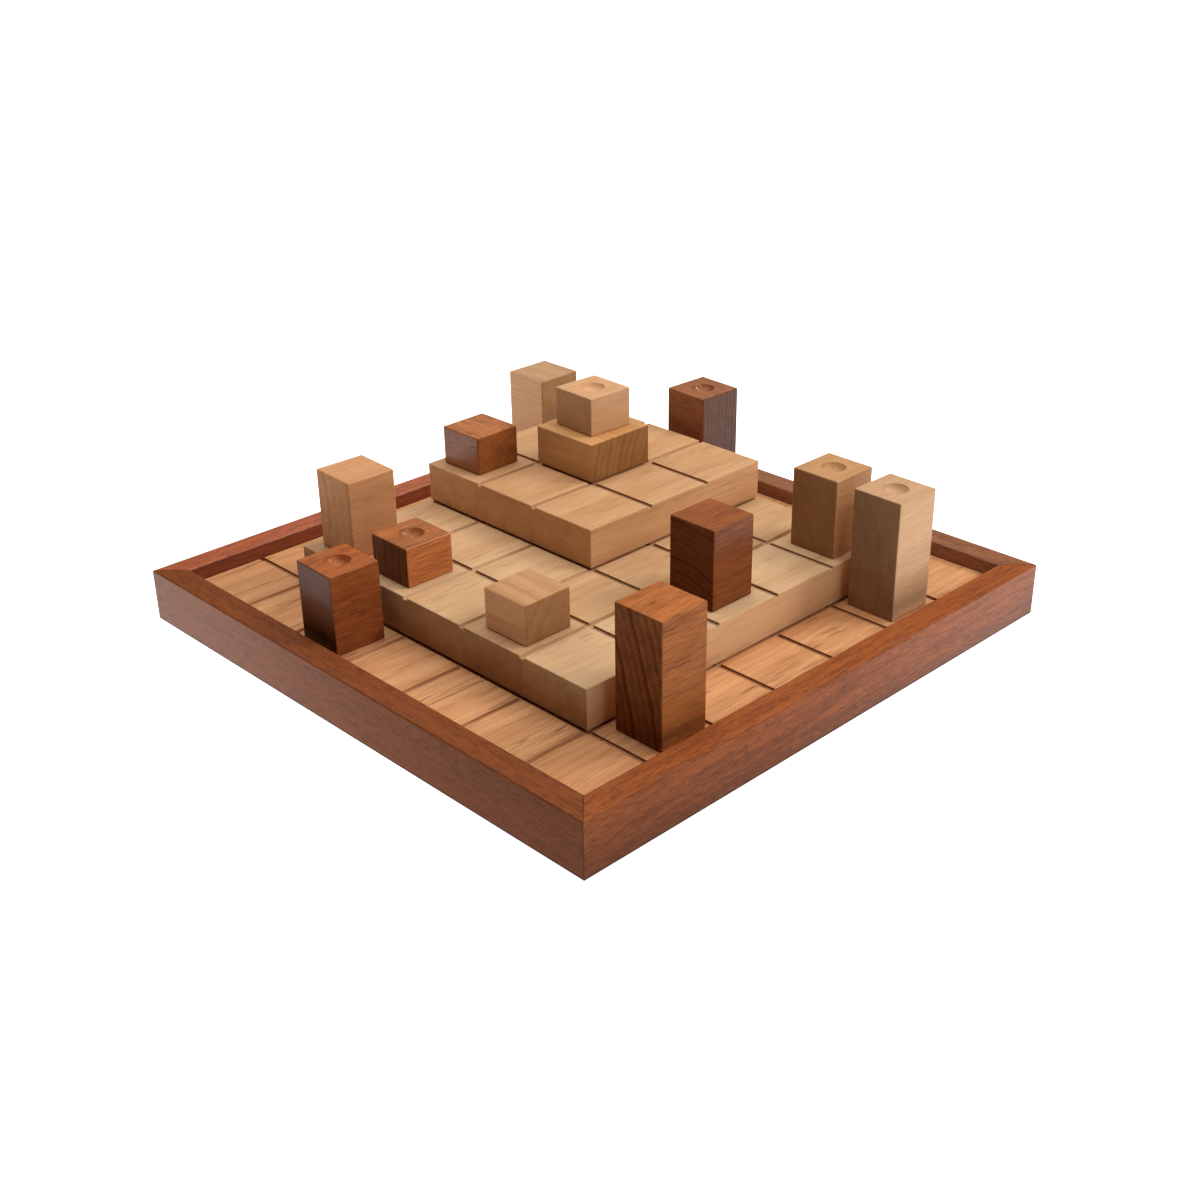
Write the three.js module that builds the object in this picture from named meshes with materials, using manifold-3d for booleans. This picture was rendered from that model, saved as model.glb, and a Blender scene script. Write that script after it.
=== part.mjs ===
// A wooden strategy board game: a square base in a mitred hardwood frame, two stepped tiers and a top block,
// sawn into cells by shallow kerfs, with loose pieces in two woods and three heights, plain or dimpled.
// Millimetres, +Z up. The origin is the middle of the board's underside, +X its right side and -Y its front.

import * as THREE from "three";
import { mergeGeometries, mergeVertices } from "three/addons/utils/BufferGeometryUtils.js";
import Module from "manifold-3d";

const wasm = await Module();
wasm.setup();

// Slabs: every slab is planed to one thickness, and the pieces' heights count in the same steps
const cellPitch = 38.1;
const slabThickness = 19.05;
const slabEase = 0.6;
const kerfWidth = 2.5;
const kerfDepth = 1.4;

// Frame
const railWidth = 12.7;
const railHeight = 26;
const railEase = 1;
const glueLine = 0.3;

// Playing pieces
const pieceSide = 25.4;
const pieceEase = 0.8;
const dimpleDiameter = 12;
const dimpleDepth = 4;

// Facets on an eased edge and round a dimple
const easeFacets = 3;
const dimpleFacets = 32;

// The board's layout in cells: each slab's size, and its first column and row counted from the front left
const slabs = [
  { name: "base_board", cells: 7, column: 0, row: 0, colour: 0xb98255, roughness: 0.6 },
  { name: "lower_tier", cells: 5, column: 1, row: 1, colour: 0xcf9f6f, roughness: 0.55 },
  { name: "upper_tier", cells: 3, column: 1, row: 3, colour: 0xcd9c6c, roughness: 0.55 },
  { name: "top_block", cells: 1, column: 2, row: 4, colour: 0xbf8a58, roughness: 0.55 },
];
const railNames = ["front_rail", "right_rail", "back_rail", "left_rail"];

// Each piece's kind, the column and row it stands in, and how a hand left it: off the middle by a share of
// the room to spare in a cell, to the right and to the back, and turned by some degrees
const pieces = [
  { wood: "light", height: "tall", top: "plain", column: 0, row: 5, nudge: [-0.15, 0], turn: 0 },
  { wood: "light", height: "tall", top: "dimpled", column: 6, row: 5, nudge: [-0.15, -0.05], turn: -1 },
  { wood: "light", height: "medium", top: "plain", column: 1, row: 1, nudge: [-0.05, 0.1], turn: -2 },
  { wood: "light", height: "medium", top: "dimpled", column: 5, row: 5, nudge: [0.35, 0.05], turn: -0.5 },
  { wood: "light", height: "short", top: "plain", column: 4, row: 1, nudge: [0.35, 0], turn: 0.5 },
  { wood: "light", height: "short", top: "dimpled", column: 2, row: 4, nudge: [-0.15, 0.2], turn: -2 },
  { wood: "dark", height: "tall", top: "plain", column: 6, row: 1, nudge: [0.1, 0.35], turn: 0 },
  { wood: "dark", height: "tall", top: "dimpled", column: 2, row: 6, nudge: [0.3, 0.1], turn: -2.5 },
  { wood: "dark", height: "medium", top: "plain", column: 5, row: 3, nudge: [-0.3, -0.05], turn: 0 },
  { wood: "dark", height: "medium", top: "dimpled", column: 2, row: 0, nudge: [0.15, -0.25], turn: -1.5 },
  { wood: "dark", height: "short", top: "plain", column: 1, row: 3, nudge: [-0.2, 0], turn: 1 },
  { wood: "dark", height: "short", top: "dimpled", column: 2, row: 1, nudge: [0.25, 0], turn: -0.5 },
];
const heightInSlabs = { short: 1, medium: 2, tall: 3 };
const pieceColour = { light: 0xd0a271, dark: 0x7a3d22 };
const railColour = 0x7c3b20;
const pieceRoughness = 0.5;
const railRoughness = 0.4;

const boardCells = slabs[0].cells;
const boardSide = boardCells * cellPitch;
const frameSide = boardSide + 2 * (glueLine + railWidth);
const roomToSpare = (cellPitch - pieceSide) / 2;

// A cell line's distance from the middle of the board, for a column or row counted from the front left
function cellLine(index) {
  return (index - boardCells / 2) * cellPitch;
}

function cellMiddle(index) {
  return cellLine(index) + cellPitch / 2;
}

// How many slabs lie under a cell
function slabsUnder(column, row) {
  const within = (first, cells, index) => index >= first && index < first + cells;
  const covers = (slab) => within(slab.column, slab.cells, column) && within(slab.row, slab.cells, row);
  return slabs.filter(covers).length;
}

function wood(colour, roughness) {
  return new THREE.MeshStandardMaterial({ color: colour, roughness, metalness: 0 });
}

function namedMesh(name, geometry, material) {
  const mesh = new THREE.Mesh(geometry, material);
  mesh.name = name;
  return mesh;
}

// Booleans on closed geometries
function solidOf(geometry) {
  const bare = geometry.clone();
  bare.deleteAttribute("normal");
  bare.deleteAttribute("uv");
  const merged = mergeVertices(bare);
  const vertProperties = Float32Array.from(merged.attributes.position.array);
  const triVerts = Uint32Array.from(merged.index.array);
  return new wasm.Manifold(new wasm.Mesh({ numProp: 3, vertProperties, triVerts }));
}

function geometryOf(solid) {
  const { vertProperties, triVerts } = solid.getMesh();
  const geometry = new THREE.BufferGeometry();
  geometry.setAttribute("position", new THREE.BufferAttribute(vertProperties, 3));
  geometry.setIndex(new THREE.BufferAttribute(triVerts, 1));
  geometry.computeVertexNormals();
  return geometry;
}

function cutFrom(geometry, cutter) {
  return geometryOf(solidOf(geometry).subtract(solidOf(cutter)));
}

function roundedRectangle(width, height, radius) {
  const x = width / 2 - radius;
  const y = height / 2 - radius;
  const quarter = Math.PI / 2;
  const outline = new THREE.Shape();
  outline.absarc(x, y, radius, 0, quarter);
  outline.absarc(-x, y, radius, quarter, 2 * quarter);
  outline.absarc(-x, -y, radius, 2 * quarter, 3 * quarter);
  outline.absarc(x, -y, radius, 3 * quarter, 4 * quarter);
  return outline;
}

// A square block standing on z = 0 with every edge eased
function easedBlock(side, height, ease) {
  const faceSide = side - 2 * ease;
  const faceCorner = ease / 2;
  const block = new THREE.ExtrudeGeometry(roundedRectangle(faceSide, faceSide, faceCorner), {
    depth: height - 2 * ease,
    bevelSize: ease,
    bevelThickness: ease,
    bevelSegments: easeFacets,
    curveSegments: easeFacets,
  });
  return block.translate(0, 0, ease);
}

// The stretches between kerfs across a slab, from its middle; the outermost two reach past the slab's edges
function tileSpans(cells) {
  const edge = (cells * cellPitch) / 2;
  const spans = [];
  for (let cell = 0; cell < cells; cell += 1) {
    const from = cell === 0 ? -edge - kerfWidth : cell * cellPitch - edge + kerfWidth / 2;
    const to = cell === cells - 1 ? edge + kerfWidth : (cell + 1) * cellPitch - edge - kerfWidth / 2;
    spans.push({ width: to - from, middle: (from + to) / 2 });
  }
  return spans;
}

// What the saw takes out of a slab's top: a plate wider than the slab, less a post for each tile
function kerfGrid(cells) {
  const plateSide = cells * cellPitch + 4 * kerfWidth;
  const plate = new THREE.BoxGeometry(plateSide, plateSide, 2 * kerfDepth);
  const spans = tileSpans(cells);
  const tilePost = (x, y) => {
    const post = new THREE.BoxGeometry(x.width, y.width, 4 * kerfDepth);
    return post.translate(x.middle, y.middle, 0);
  };
  const posts = spans.flatMap((x) => spans.map((y) => tilePost(x, y)));
  return cutFrom(plate, mergeGeometries(posts)).translate(0, 0, slabThickness);
}

function slabMesh(slab, level) {
  const block = easedBlock(slab.cells * cellPitch, slabThickness, slabEase);
  const mesh = namedMesh(slab.name, cutFrom(block, kerfGrid(slab.cells)), wood(slab.colour, slab.roughness));
  const middle = slab.cells / 2;
  mesh.position.set(cellLine(slab.column + middle), cellLine(slab.row + middle), level * slabThickness);
  return mesh;
}

// A rail along X with its outer face on y = 0, its ends sheared back to 45 degree mitres
function railGeometry() {
  const section = roundedRectangle(railWidth, railHeight, railEase);
  const rail = new THREE.ExtrudeGeometry(section, {
    depth: frameSide,
    bevelEnabled: false,
    curveSegments: easeFacets,
  });
  const halfGlueLine = glueLine / Math.SQRT2;
  const points = rail.attributes.position;
  for (let i = 0; i < points.count; i += 1) {
    const behindFace = points.getX(i) + railWidth / 2;
    const side = points.getZ(i) > frameSide / 2 ? 1 : -1;
    const along = side * (frameSide / 2 - behindFace - halfGlueLine);
    points.setXYZ(i, along, behindFace, points.getY(i) + railHeight / 2);
  }
  rail.computeVertexNormals();
  return rail;
}

// The rails go round the board a quarter turn at a time, from the front
function railGroup(name, quarterTurns) {
  const rail = namedMesh(name, railGeometry(), wood(railColour, railRoughness));
  rail.position.y = -frameSide / 2;
  const group = new THREE.Group();
  group.rotation.z = (quarterTurns * Math.PI) / 2;
  group.add(rail);
  return group;
}

// The ball that a round-nosed bit would sweep when it sinks a dimple into a piece of this height
function dimpleBall(height) {
  const radius = ((dimpleDiameter / 2) ** 2 + dimpleDepth ** 2) / (2 * dimpleDepth);
  const ball = new THREE.SphereGeometry(radius, dimpleFacets, dimpleFacets / 2);
  return ball.rotateX(Math.PI / 2).translate(0, 0, height - dimpleDepth + radius);
}

function pieceMesh(piece) {
  const height = heightInSlabs[piece.height] * slabThickness;
  const blank = easedBlock(pieceSide, height, pieceEase);
  const shape = piece.top === "dimpled" ? cutFrom(blank, dimpleBall(height)) : blank;
  const name = `${piece.wood}_${piece.height}_${piece.top}`;
  const mesh = namedMesh(name, shape, wood(pieceColour[piece.wood], pieceRoughness));
  const [nudgeX, nudgeY] = piece.nudge;
  const middleX = cellMiddle(piece.column) + nudgeX * roomToSpare;
  const middleY = cellMiddle(piece.row) + nudgeY * roomToSpare;
  mesh.position.set(middleX, middleY, slabsUnder(piece.column, piece.row) * slabThickness);
  mesh.rotation.z = THREE.MathUtils.degToRad(piece.turn);
  return mesh;
}

const game = new THREE.Group();
railNames.forEach((name, side) => game.add(railGroup(name, side)));
slabs.forEach((slab, level) => game.add(slabMesh(slab, level)));
pieces.forEach((piece) => game.add(pieceMesh(piece)));

export default game;
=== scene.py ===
"""Looks of a wooden strategy board game: a kerf-sawn stepped board in a mitred frame, and its loose pieces.

Laid out as a Blender add-on and run as a script. Everything is in metres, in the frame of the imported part:
the origin is the middle of the board's underside, +X is its right side and -Y its front.
"""

import math
from collections import namedtuple

import bpy
from bpy.props import FloatProperty, FloatVectorProperty, IntProperty, PointerProperty
from mathutils import Matrix, Vector


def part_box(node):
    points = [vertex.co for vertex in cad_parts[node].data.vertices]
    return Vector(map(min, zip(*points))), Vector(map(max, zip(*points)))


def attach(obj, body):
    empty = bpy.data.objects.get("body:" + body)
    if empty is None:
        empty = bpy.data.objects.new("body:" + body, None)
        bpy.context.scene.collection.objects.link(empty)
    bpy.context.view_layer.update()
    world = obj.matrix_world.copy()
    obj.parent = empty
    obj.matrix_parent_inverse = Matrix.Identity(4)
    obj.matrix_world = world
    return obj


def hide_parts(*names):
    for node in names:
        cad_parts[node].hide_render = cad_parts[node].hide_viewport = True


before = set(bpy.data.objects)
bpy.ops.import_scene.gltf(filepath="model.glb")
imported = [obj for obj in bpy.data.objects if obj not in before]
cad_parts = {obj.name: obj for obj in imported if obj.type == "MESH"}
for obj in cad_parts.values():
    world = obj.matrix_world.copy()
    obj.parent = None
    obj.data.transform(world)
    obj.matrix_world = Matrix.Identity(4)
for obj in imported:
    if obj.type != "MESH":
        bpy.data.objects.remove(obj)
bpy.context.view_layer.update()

bl_info = {
    "name": "Wooden Board Game",
    "version": (1, 0, 0),
    "blender": (4, 5, 0),
    "location": "View3D > Sidebar > Board Game",
    "description": "Finishes a stepped wooden game board and its pieces, and sets a pale studio round them",
    "category": "Object",
}

BOARD_BODY = "board"
MM = 0.001

# The slabs from the bottom up with their cells, the rails round the board from the front, and how far each
# piece is turned, in degrees
SLAB_CELLS = {"base_board": 7, "lower_tier": 5, "upper_tier": 3, "top_block": 1}
RAILS = ("front_rail", "right_rail", "back_rail", "left_rail")
LIGHT_TURNS = {
    "light_tall_plain": 0.0,
    "light_tall_dimpled": -1.0,
    "light_medium_plain": -2.0,
    "light_medium_dimpled": -0.5,
    "light_short_plain": 0.5,
    "light_short_dimpled": -2.0,
}
DARK_TURNS = {
    "dark_tall_plain": 0.0,
    "dark_tall_dimpled": -2.5,
    "dark_medium_plain": 0.0,
    "dark_medium_dimpled": -1.5,
    "dark_short_plain": 1.0,
    "dark_short_dimpled": -0.5,
}

# A species' fibres, pores and patches, in mm across and along the grain, and its least roughness
Species = namedtuple("Species", "fibre pore patch roughness")
FEATURES = ("Fibre", "Pore", "Patch")
SPECIES = {
    "frame": Species((0.4, 6), (0.4, 3), (3, 40), 0.4),
    "base": Species((0.5, 20), (0.4, 16), (12, 120), 0.5),
    "tier": Species((0.5, 24), (0.5, 10), (12, 120), 0.5),
    "light": Species((0.6, 25), (0.5, 8), (12, 120), 0.45),
    "dark": Species((0.35, 9), (0.35, 8), (7, 50), 0.4),
}

# The tone of each column's stave in the glued-up slabs, from left to right: 0 is pale and 1 deep
STAVES = {
    "base_board": (0.3, 0.25, 0.35, 0.4, 0.35, 0.35, 0.5),
    "lower_tier": (0.3, 0.25, 0.25, 0.5, 0.1),
    "upper_tier": (0.25, 0.35, 0.3),
}

# A blank's wood: its species, where its middle lay in the log, across, along and above the pith, how far
# apart the rings are and how far they wander, all in mm, how strongly rings show along and across the grain,
# how strongly fibres, pores and patches show, the oil left on long grain, the end grain's brightness, partly
# its own darker colour and partly painted shade for the side that it faces, the board axis that the grain
# follows, the oil left on end grain, the tint, and the top's brightness, which is painted light: tops and
# dimples made lighter or darker as light from above would make them
Wood = namedtuple(
    "Wood",
    "species cut spacing wander rings end_rings fibres pores patches oil end grain end_oil tint top",
    defaults=("Y", 0, (1, 1, 1), 1),
)
RAIL = Wood(
    "frame", cut=(20, 0, 90), spacing=6, wander=12, rings=0.1, end_rings=0.3,
    fibres=0.75, pores=0.55, patches=0.4, oil=0.3, end=0.5, grain="X",
)
BASE = Wood(
    "base", cut=(20, 0, 120), spacing=3.5, wander=10, rings=0.25, end_rings=0.4,
    fibres=0.3, pores=0.85, patches=0.5, oil=0.2, end=0.6,
)
TIER = Wood(
    "tier", cut=(30, 300, 90), spacing=3.5, wander=8, rings=0.15, end_rings=0.2,
    fibres=0.3, pores=0.3, patches=0.5, oil=0.2, end=0.6,
)
LIGHT = Wood(
    "light", cut=(60, 0, 10), spacing=4, wander=3, rings=0.15, end_rings=0.2,
    fibres=0.25, pores=0.25, patches=0.3, oil=0.2, end=0.6,
)
DARK = Wood(
    "dark", cut=(40, 0, 30), spacing=4, wander=3, rings=0.2, end_rings=0.5,
    fibres=0.6, pores=0.4, patches=0.3, oil=0.45, end=0.4, end_oil=0.05,
)
WOODS = {
    "front_rail": RAIL._replace(rings=0, pores=0.4, patches=0.3, tint=(0.67, 0.61, 0.52), top=1.2),
    "right_rail": RAIL._replace(
        grain="Y", cut=(30, 300, -80), spacing=35, wander=20, rings=0.7, patches=0.5,
        tint=(0.9, 0.81, 0.64), top=1.25,
    ),
    "back_rail": RAIL._replace(cut=(10, 600, 90), tint=(0.93, 1.22, 1.55), top=1.1),
    "left_rail": RAIL._replace(grain="Y", cut=(20, 900, 80), tint=(0.88, 0.78, 0.9), top=1.8),
    "base_board": BASE._replace(tint=(1, 1.02, 1.05)),
    "lower_tier": TIER._replace(tint=(1.04, 1.12, 1.16), top=0.83),
    "upper_tier": TIER._replace(
        cut=(10, 600, 150), spacing=3, wander=6, tint=(0.9, 0.87, 0.84), end=0.87, top=0.93
    ),
    "top_block": TIER._replace(
        grain="X", cut=(60, 0, 20), spacing=4, wander=3, rings=0.3, end_rings=0.6,
        tint=(0.72, 0.64, 0.48), end=0.62, top=1.22,
    ),
    "light_tall_plain": LIGHT._replace(
        grain="X", cut=(20, 0, 70), spacing=3, tint=(1.17, 1.24, 1.28), end=0.55, top=0.7
    ),
    "light_tall_dimpled": LIGHT._replace(cut=(60, 100, 10), spacing=6, tint=(0.92, 0.99, 1.08), end=0.46),
    "light_medium_plain": LIGHT._replace(
        cut=(70, 200, 0), spacing=6, end_rings=0.4, tint=(0.97, 0.86, 0.8), end=0.82, top=1.05
    ),
    "light_medium_dimpled": LIGHT._replace(
        cut=(50, 300, 30), spacing=6, tint=(0.83, 0.79, 0.71), end=0.55, top=1.02
    ),
    "light_short_plain": LIGHT._replace(
        grain="X", cut=(25, 400, 20), spacing=6, wander=6, rings=0.3, end_rings=0.25,
        tint=(1.06, 1.03, 0.98), end=0.55, top=0.84,
    ),
    "light_short_dimpled": LIGHT._replace(
        cut=(60, 500, 5), spacing=3.5, tint=(0.95, 0.96, 0.96), end=0.7, top=1.1
    ),
    "dark_tall_plain": DARK._replace(
        cut=(250, 0, 67), rings=0.15, end_rings=0.9, pores=0.3, tint=(0.78, 0.8, 0.66), end=0.6, top=1.3
    ),
    "dark_tall_dimpled": DARK._replace(
        grain="X", cut=(300, 100, 0), spacing=2.5, wander=2, end_rings=0.95, end_oil=0.4,
        tint=(0.6, 0.65, 0.69), end=0.52, top=1.3,
    ),
    "dark_medium_plain": DARK._replace(
        cut=(10, 200, 60), spacing=3, tint=(0.53, 0.48, 0.4), end=0.6, top=1.3
    ),
    "dark_medium_dimpled": DARK._replace(
        cut=(40, 300, 50), spacing=3, end_rings=0.2, pores=0.5, end_oil=0.3,
        tint=(0.7, 0.62, 0.52), end=0.37, top=1.4,
    ),
    "dark_short_plain": DARK._replace(
        grain="X", cut=(30, 400, 50), spacing=3, end_rings=0.2, pores=0.8,
        tint=(0.7, 0.75, 0.65), end=1, top=1.55,
    ),
    "dark_short_dimpled": DARK._replace(
        cut=(250, 500, 0), spacing=2.5, wander=2, end_rings=0.8,
        tint=(1.28, 1.36, 1.23), end=0.39, top=0.75,
    ),
}
GRAIN_WAYS = {"X": (1.0, 0.0, 0.0), "Y": (0.0, 1.0, 0.0)}
UPWARD = (0.0, 0.0, 1.0)

# A blank's tone where it has no staves, and how far apart in the log staves of tone 0 and tone 1 lay
PLAIN_TONE = 0.3
STAVE_SHIFT = (20 * MM, 1.7, 9 * MM)

# Noises of every wood, across and along the grain: the sway of the rings, and bands that hold pores
SWAY_SIZE = (22 * MM, 160 * MM)
BAND_SIZE = (7 * MM, 90 * MM)

# A ring's late wood and its sharp end, as shares of the ring, and the strength of the faintest ring
LATE_WOOD = (0.2, 0.9)
RING_END = (0.92, 1.0)
FAINTEST_RING = 0.3

# The part of its noise over which each feature comes up, and of a normal over which a face counts as facing
FIBRE_RANGE = (0.3, 0.7)
PORE_RANGE = (0.6, 0.68)
BAND_RANGE = (0.42, 0.62)
PATCH_RANGE = (0.3, 0.7)
FACING_RANGE = (0.55, 0.85)

# Colour of end grain beside long grain, scorching of a kerf, partly painted shade, and how much more its end
# grain walls get, also partly painted shade, and how many kerf widths in from the next slab's edge a kerf
# under it is painted black as shade
END_HUE = Vector((1.0, 0.95, 0.88))
KERF_SCORCH_AND_SHADE = 0.2
END_SCORCH_AND_SHADE = 0.6
PAINTED_SHADE_INSET = 0.55

# Glue beside a mitre and painted shade on the frame's lowest edge: where each fades out, and its strength
MITRE_FADE = (0.1 * MM, 0.45 * MM)
MITRE_STRENGTH = 0.8
EDGE_SHADE_FADE = (0.8 * MM, 1.9 * MM)
EDGE_SHADE_STRENGTH = 0.9

# Finish: the bare wood's sheen, the oil on it and the painted sheen that thins it towards the front right
# corner, and how much rougher and higher the fibres are
BARE_SHEEN = 0.05
OIL_ROUGHNESS = 0.16
PAINTED_SHEEN_FADE = (-40 * MM, 220 * MM)
LEAST_PAINTED_SHEEN = 0.1
FIBRE_ROUGHNESS = 0.12
FIBRE_RELIEF = 0.3

# Soft square lights: turn from +X and rise from the floor in degrees, distance and side in metres
Lamp = namedtuple("Lamp", "turn rise distance side")
LAMPS = {
    "top": Lamp(126, 84, 0.9, 0.9),
    "key": Lamp(50, 45, 1.6, 0.55),
    "right": Lamp(0, 40, 0.9, 0.4),
    "left": Lamp(200, 55, 0.6, 0.4),
    "window": Lamp(136, 27, 1.2, 0.8),
}

# The floor's glow falls over this stretch towards the camera, and the horizon's over this share of the sky
GLOW_FADE = (50 * MM, 350 * MM)
HORIZON_FADE = (0.01, 0.07)

WHITE = (1.0, 1.0, 1.0, 1.0)
BLACK = (0.0, 0.0, 0.0, 1.0)

NUMBER = "NodeSocketFloat"
WHOLE = "NodeSocketInt"
VECTOR = "NodeSocketVector"


def box_size(node):
    """A node's width, depth and height."""
    low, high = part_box(node)
    return high - low


def box_foot(node):
    """The middle of a node's underside."""
    low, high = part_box(node)
    return Vector(((low.x + high.x) / 2, (low.y + high.y) / 2, low.z))


def number(name, description, default, **kind):
    return FloatProperty(name=name, description=description, default=default, **kind)


def length(name, description, default):
    return number(name, description, default, subtype="DISTANCE", unit="LENGTH")


def angle(name, description, degrees):
    return number(name, description, math.radians(degrees), subtype="ANGLE", unit="ROTATION")


def watts(name, description, default):
    return number(name, description, default, min=0.0, subtype="POWER", unit="POWER")


def colour(name, description, default):
    return FloatVectorProperty(
        name=name, description=description, default=default, size=3, min=0.0, max=1.0, subtype="COLOR"
    )


class BoardSizes(bpy.types.PropertyGroup):
    """Sizes of the board, its frame and the pieces."""

    cell_pitch: length("Cell Pitch", "Distance from one kerf to the next", box_size("top_block").x)
    slab_thickness: length("Slab Thickness", "Thickness of each slab", box_size("top_block").z)
    slab_ease: length("Slab Ease", "Rounding of the edges of slabs and tiles", 0.4 * MM)
    kerf_width: length("Kerf Width", "Width of a saw kerf", 2.5 * MM)
    kerf_depth: length("Kerf Depth", "Depth of a saw kerf", 1.4 * MM)
    frame_side: length("Frame Side", "Side of the whole frame", 2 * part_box("right_rail")[1].x)
    rail_width: length("Rail Width", "Width of a rail's top", box_size("front_rail").y)
    rail_height: length("Rail Height", "Height of a rail", box_size("front_rail").z)
    rail_ease: length("Rail Ease", "Rounding of a rail's long edges", 1.0 * MM)
    glue_line: length("Glue Line", "Gap that is left open at a mitre", 0.02 * MM)
    piece_side: length("Piece Side", "Width of a playing piece", 25.4 * MM)
    piece_ease: length("Piece Ease", "Rounding of a piece's edges", 0.8 * MM)
    dimple_diameter: length("Dimple Diameter", "Width of the dimple in a piece's top", 12.0 * MM)
    dimple_depth: length("Dimple Depth", "Depth of the dimple in a piece's top", 4.0 * MM)
    rim_ease: length("Rim Ease", "Rounding of a dimple's rim", 0.3 * MM)
    ease_steps: IntProperty(name="Ease Steps", description="Facets across an eased edge", default=4, min=1)
    dimple_rings: IntProperty(
        name="Dimple Rings", description="Rings of facets in a dimple", default=10, min=3
    )


class WoodColours(bpy.types.PropertyGroup):
    """The pale and the deep colour of each wood, and what darkens them."""

    frame_pale: colour("Frame Pale", "Early wood of the rails", (0.36, 0.108, 0.036))
    frame_deep: colour("Frame Deep", "Late wood of the rails", (0.15, 0.048, 0.024))
    frame_pore: colour("Frame Pore", "Open pores of the rails", (0.1, 0.036, 0.026))
    base_pale: colour("Base Pale", "Early wood of the base", (0.82, 0.42, 0.19))
    base_deep: colour("Base Deep", "Late wood of the base", (0.52, 0.205, 0.078))
    base_pore: colour("Base Pore", "Open pores of the base", (0.22, 0.08, 0.03))
    tier_pale: colour("Tier Pale", "Early wood of the tiers", (0.83, 0.49, 0.255))
    tier_deep: colour("Tier Deep", "Late wood of the tiers", (0.6, 0.295, 0.125))
    tier_pore: colour("Tier Pore", "Open pores of the tiers", (0.3, 0.13, 0.05))
    light_pale: colour("Light Pale", "Early wood of the light pieces", (0.74, 0.42, 0.215))
    light_deep: colour("Light Deep", "Late wood of the light pieces", (0.5, 0.235, 0.095))
    light_pore: colour("Light Pore", "Open pores of the light pieces", (0.26, 0.11, 0.045))
    dark_pale: colour("Dark Pale", "Early wood of the dark pieces", (0.56, 0.18, 0.058))
    dark_deep: colour("Dark Deep", "Late wood of the dark pieces", (0.2, 0.05, 0.016))
    dark_pore: colour("Dark Pore", "Open pores of the dark pieces", (0.09, 0.03, 0.014))
    # The kerf colour is partly scorching and partly painted shade in the kerfs
    kerf: colour("Kerf", "Scorched walls of a saw kerf", (0.18, 0.055, 0.02))
    # The glue colour also paints shade on the frame's lowest edge
    glue_and_shade: colour("Glue", "Glue line at a mitre", (0.06, 0.025, 0.012))


class StudioSettings(bpy.types.PropertyGroup):
    """Floor, light and camera."""

    floor_colour: colour("Floor", "Colour of the floor", (0.1, 0.1, 0.1))
    near_glow: number("Near Glow", "Light that the floor gives near the camera", 1.03)
    far_glow: number("Far Glow", "Light that the floor gives past the board", 1.9)
    floor_reach: length("Floor Reach", "Distance from the board to the floor's edge", 40.0)
    sky_strength: number("Sky Strength", "Brightness at the horizon", 1.0, min=0.0)
    top_power: watts("Top Light", "Power of the soft light overhead, a little to the back", 5.6)
    key_power: watts("Key Light", "Power of the main light, past the right end of the board", 10.4)
    right_power: watts("Right Light", "Power of the soft light on the right", 1.4)
    left_power: watts("Left Light", "Power of the soft light high on the left", 0.5)
    window_power: watts("Window Light", "Power of the dim wide light behind", 0.6)
    azimuth: angle("Azimuth", "Camera's turn round the board from its front", 46.0835)
    elevation: angle("Elevation", "Camera's height over the horizon", 26.9661)
    roll: angle("Roll", "Camera's lean", -0.8532)
    distance: length("Distance", "Camera's distance from the point that it looks at", 775.5 * MM)
    aim_x: length("Aim X", "Point on the floor that the camera looks at, to the right", -10.0 * MM)
    aim_y: length("Aim Y", "Point on the floor that the camera looks at, to the back", 14.2 * MM)
    lens: number("Lens", "Focal length on a 36 mm frame, in mm", 47.983, unit="CAMERA")


def sizes():
    return bpy.context.scene.board_game_sizes


def colours():
    return bpy.context.scene.board_game_colours


def studio():
    return bpy.context.scene.board_game_studio


# Node trees


def new_tree(name, kind, inputs, outputs):
    """A node group with its sockets made; returns the tree, its inputs by name and its output node."""
    tree = bpy.data.node_groups.new(name, kind)
    for label, socket in inputs:
        tree.interface.new_socket(label, in_out="INPUT", socket_type=socket)
    for label, socket in outputs:
        tree.interface.new_socket(label, in_out="OUTPUT", socket_type=socket)
    return tree, tree.nodes.new("NodeGroupInput").outputs, tree.nodes.new("NodeGroupOutput")


def add(tree, kind, inputs=None, **settings):
    """A node with its settings made and its inputs linked or set, by name or number."""
    node = tree.nodes.new(kind)
    for name, value in settings.items():
        setattr(node, name, value)
    for key, value in (inputs or {}).items():
        if isinstance(value, bpy.types.NodeSocket):
            tree.links.new(value, node.inputs[key])
        else:
            node.inputs[key].default_value = value
    return node


def maths(tree, operation, *values):
    return add(tree, "ShaderNodeMath", dict(enumerate(values)), operation=operation).outputs[0]


def vectors(tree, operation, *values):
    return add(tree, "ShaderNodeVectorMath", dict(enumerate(values)), operation=operation).outputs["Vector"]


def scaled(tree, vector, scale):
    return add(tree, "ShaderNodeVectorMath", {0: vector, "Scale": scale}, operation="SCALE").outputs["Vector"]


def split(tree, vector):
    """A vector's three parts."""
    return tuple(add(tree, "ShaderNodeSeparateXYZ", {0: vector}).outputs)


def joined(tree, x, y, z):
    return add(tree, "ShaderNodeCombineXYZ", {0: x, 1: y, 2: z}).outputs[0]


def ramp(tree, value, low, high, low_value=0.0, high_value=1.0):
    """A smooth step from one value to another."""
    inputs = {"Value": value, "From Min": low, "From Max": high, "To Min": low_value, "To Max": high_value}
    return add(tree, "ShaderNodeMapRange", inputs, interpolation_type="SMOOTHSTEP").outputs[0]


def compare(tree, operation, first, second):
    inputs = {0: first, 1: second}
    return add(tree, "FunctionNodeCompare", inputs, data_type="FLOAT", operation=operation).outputs[0]


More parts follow.
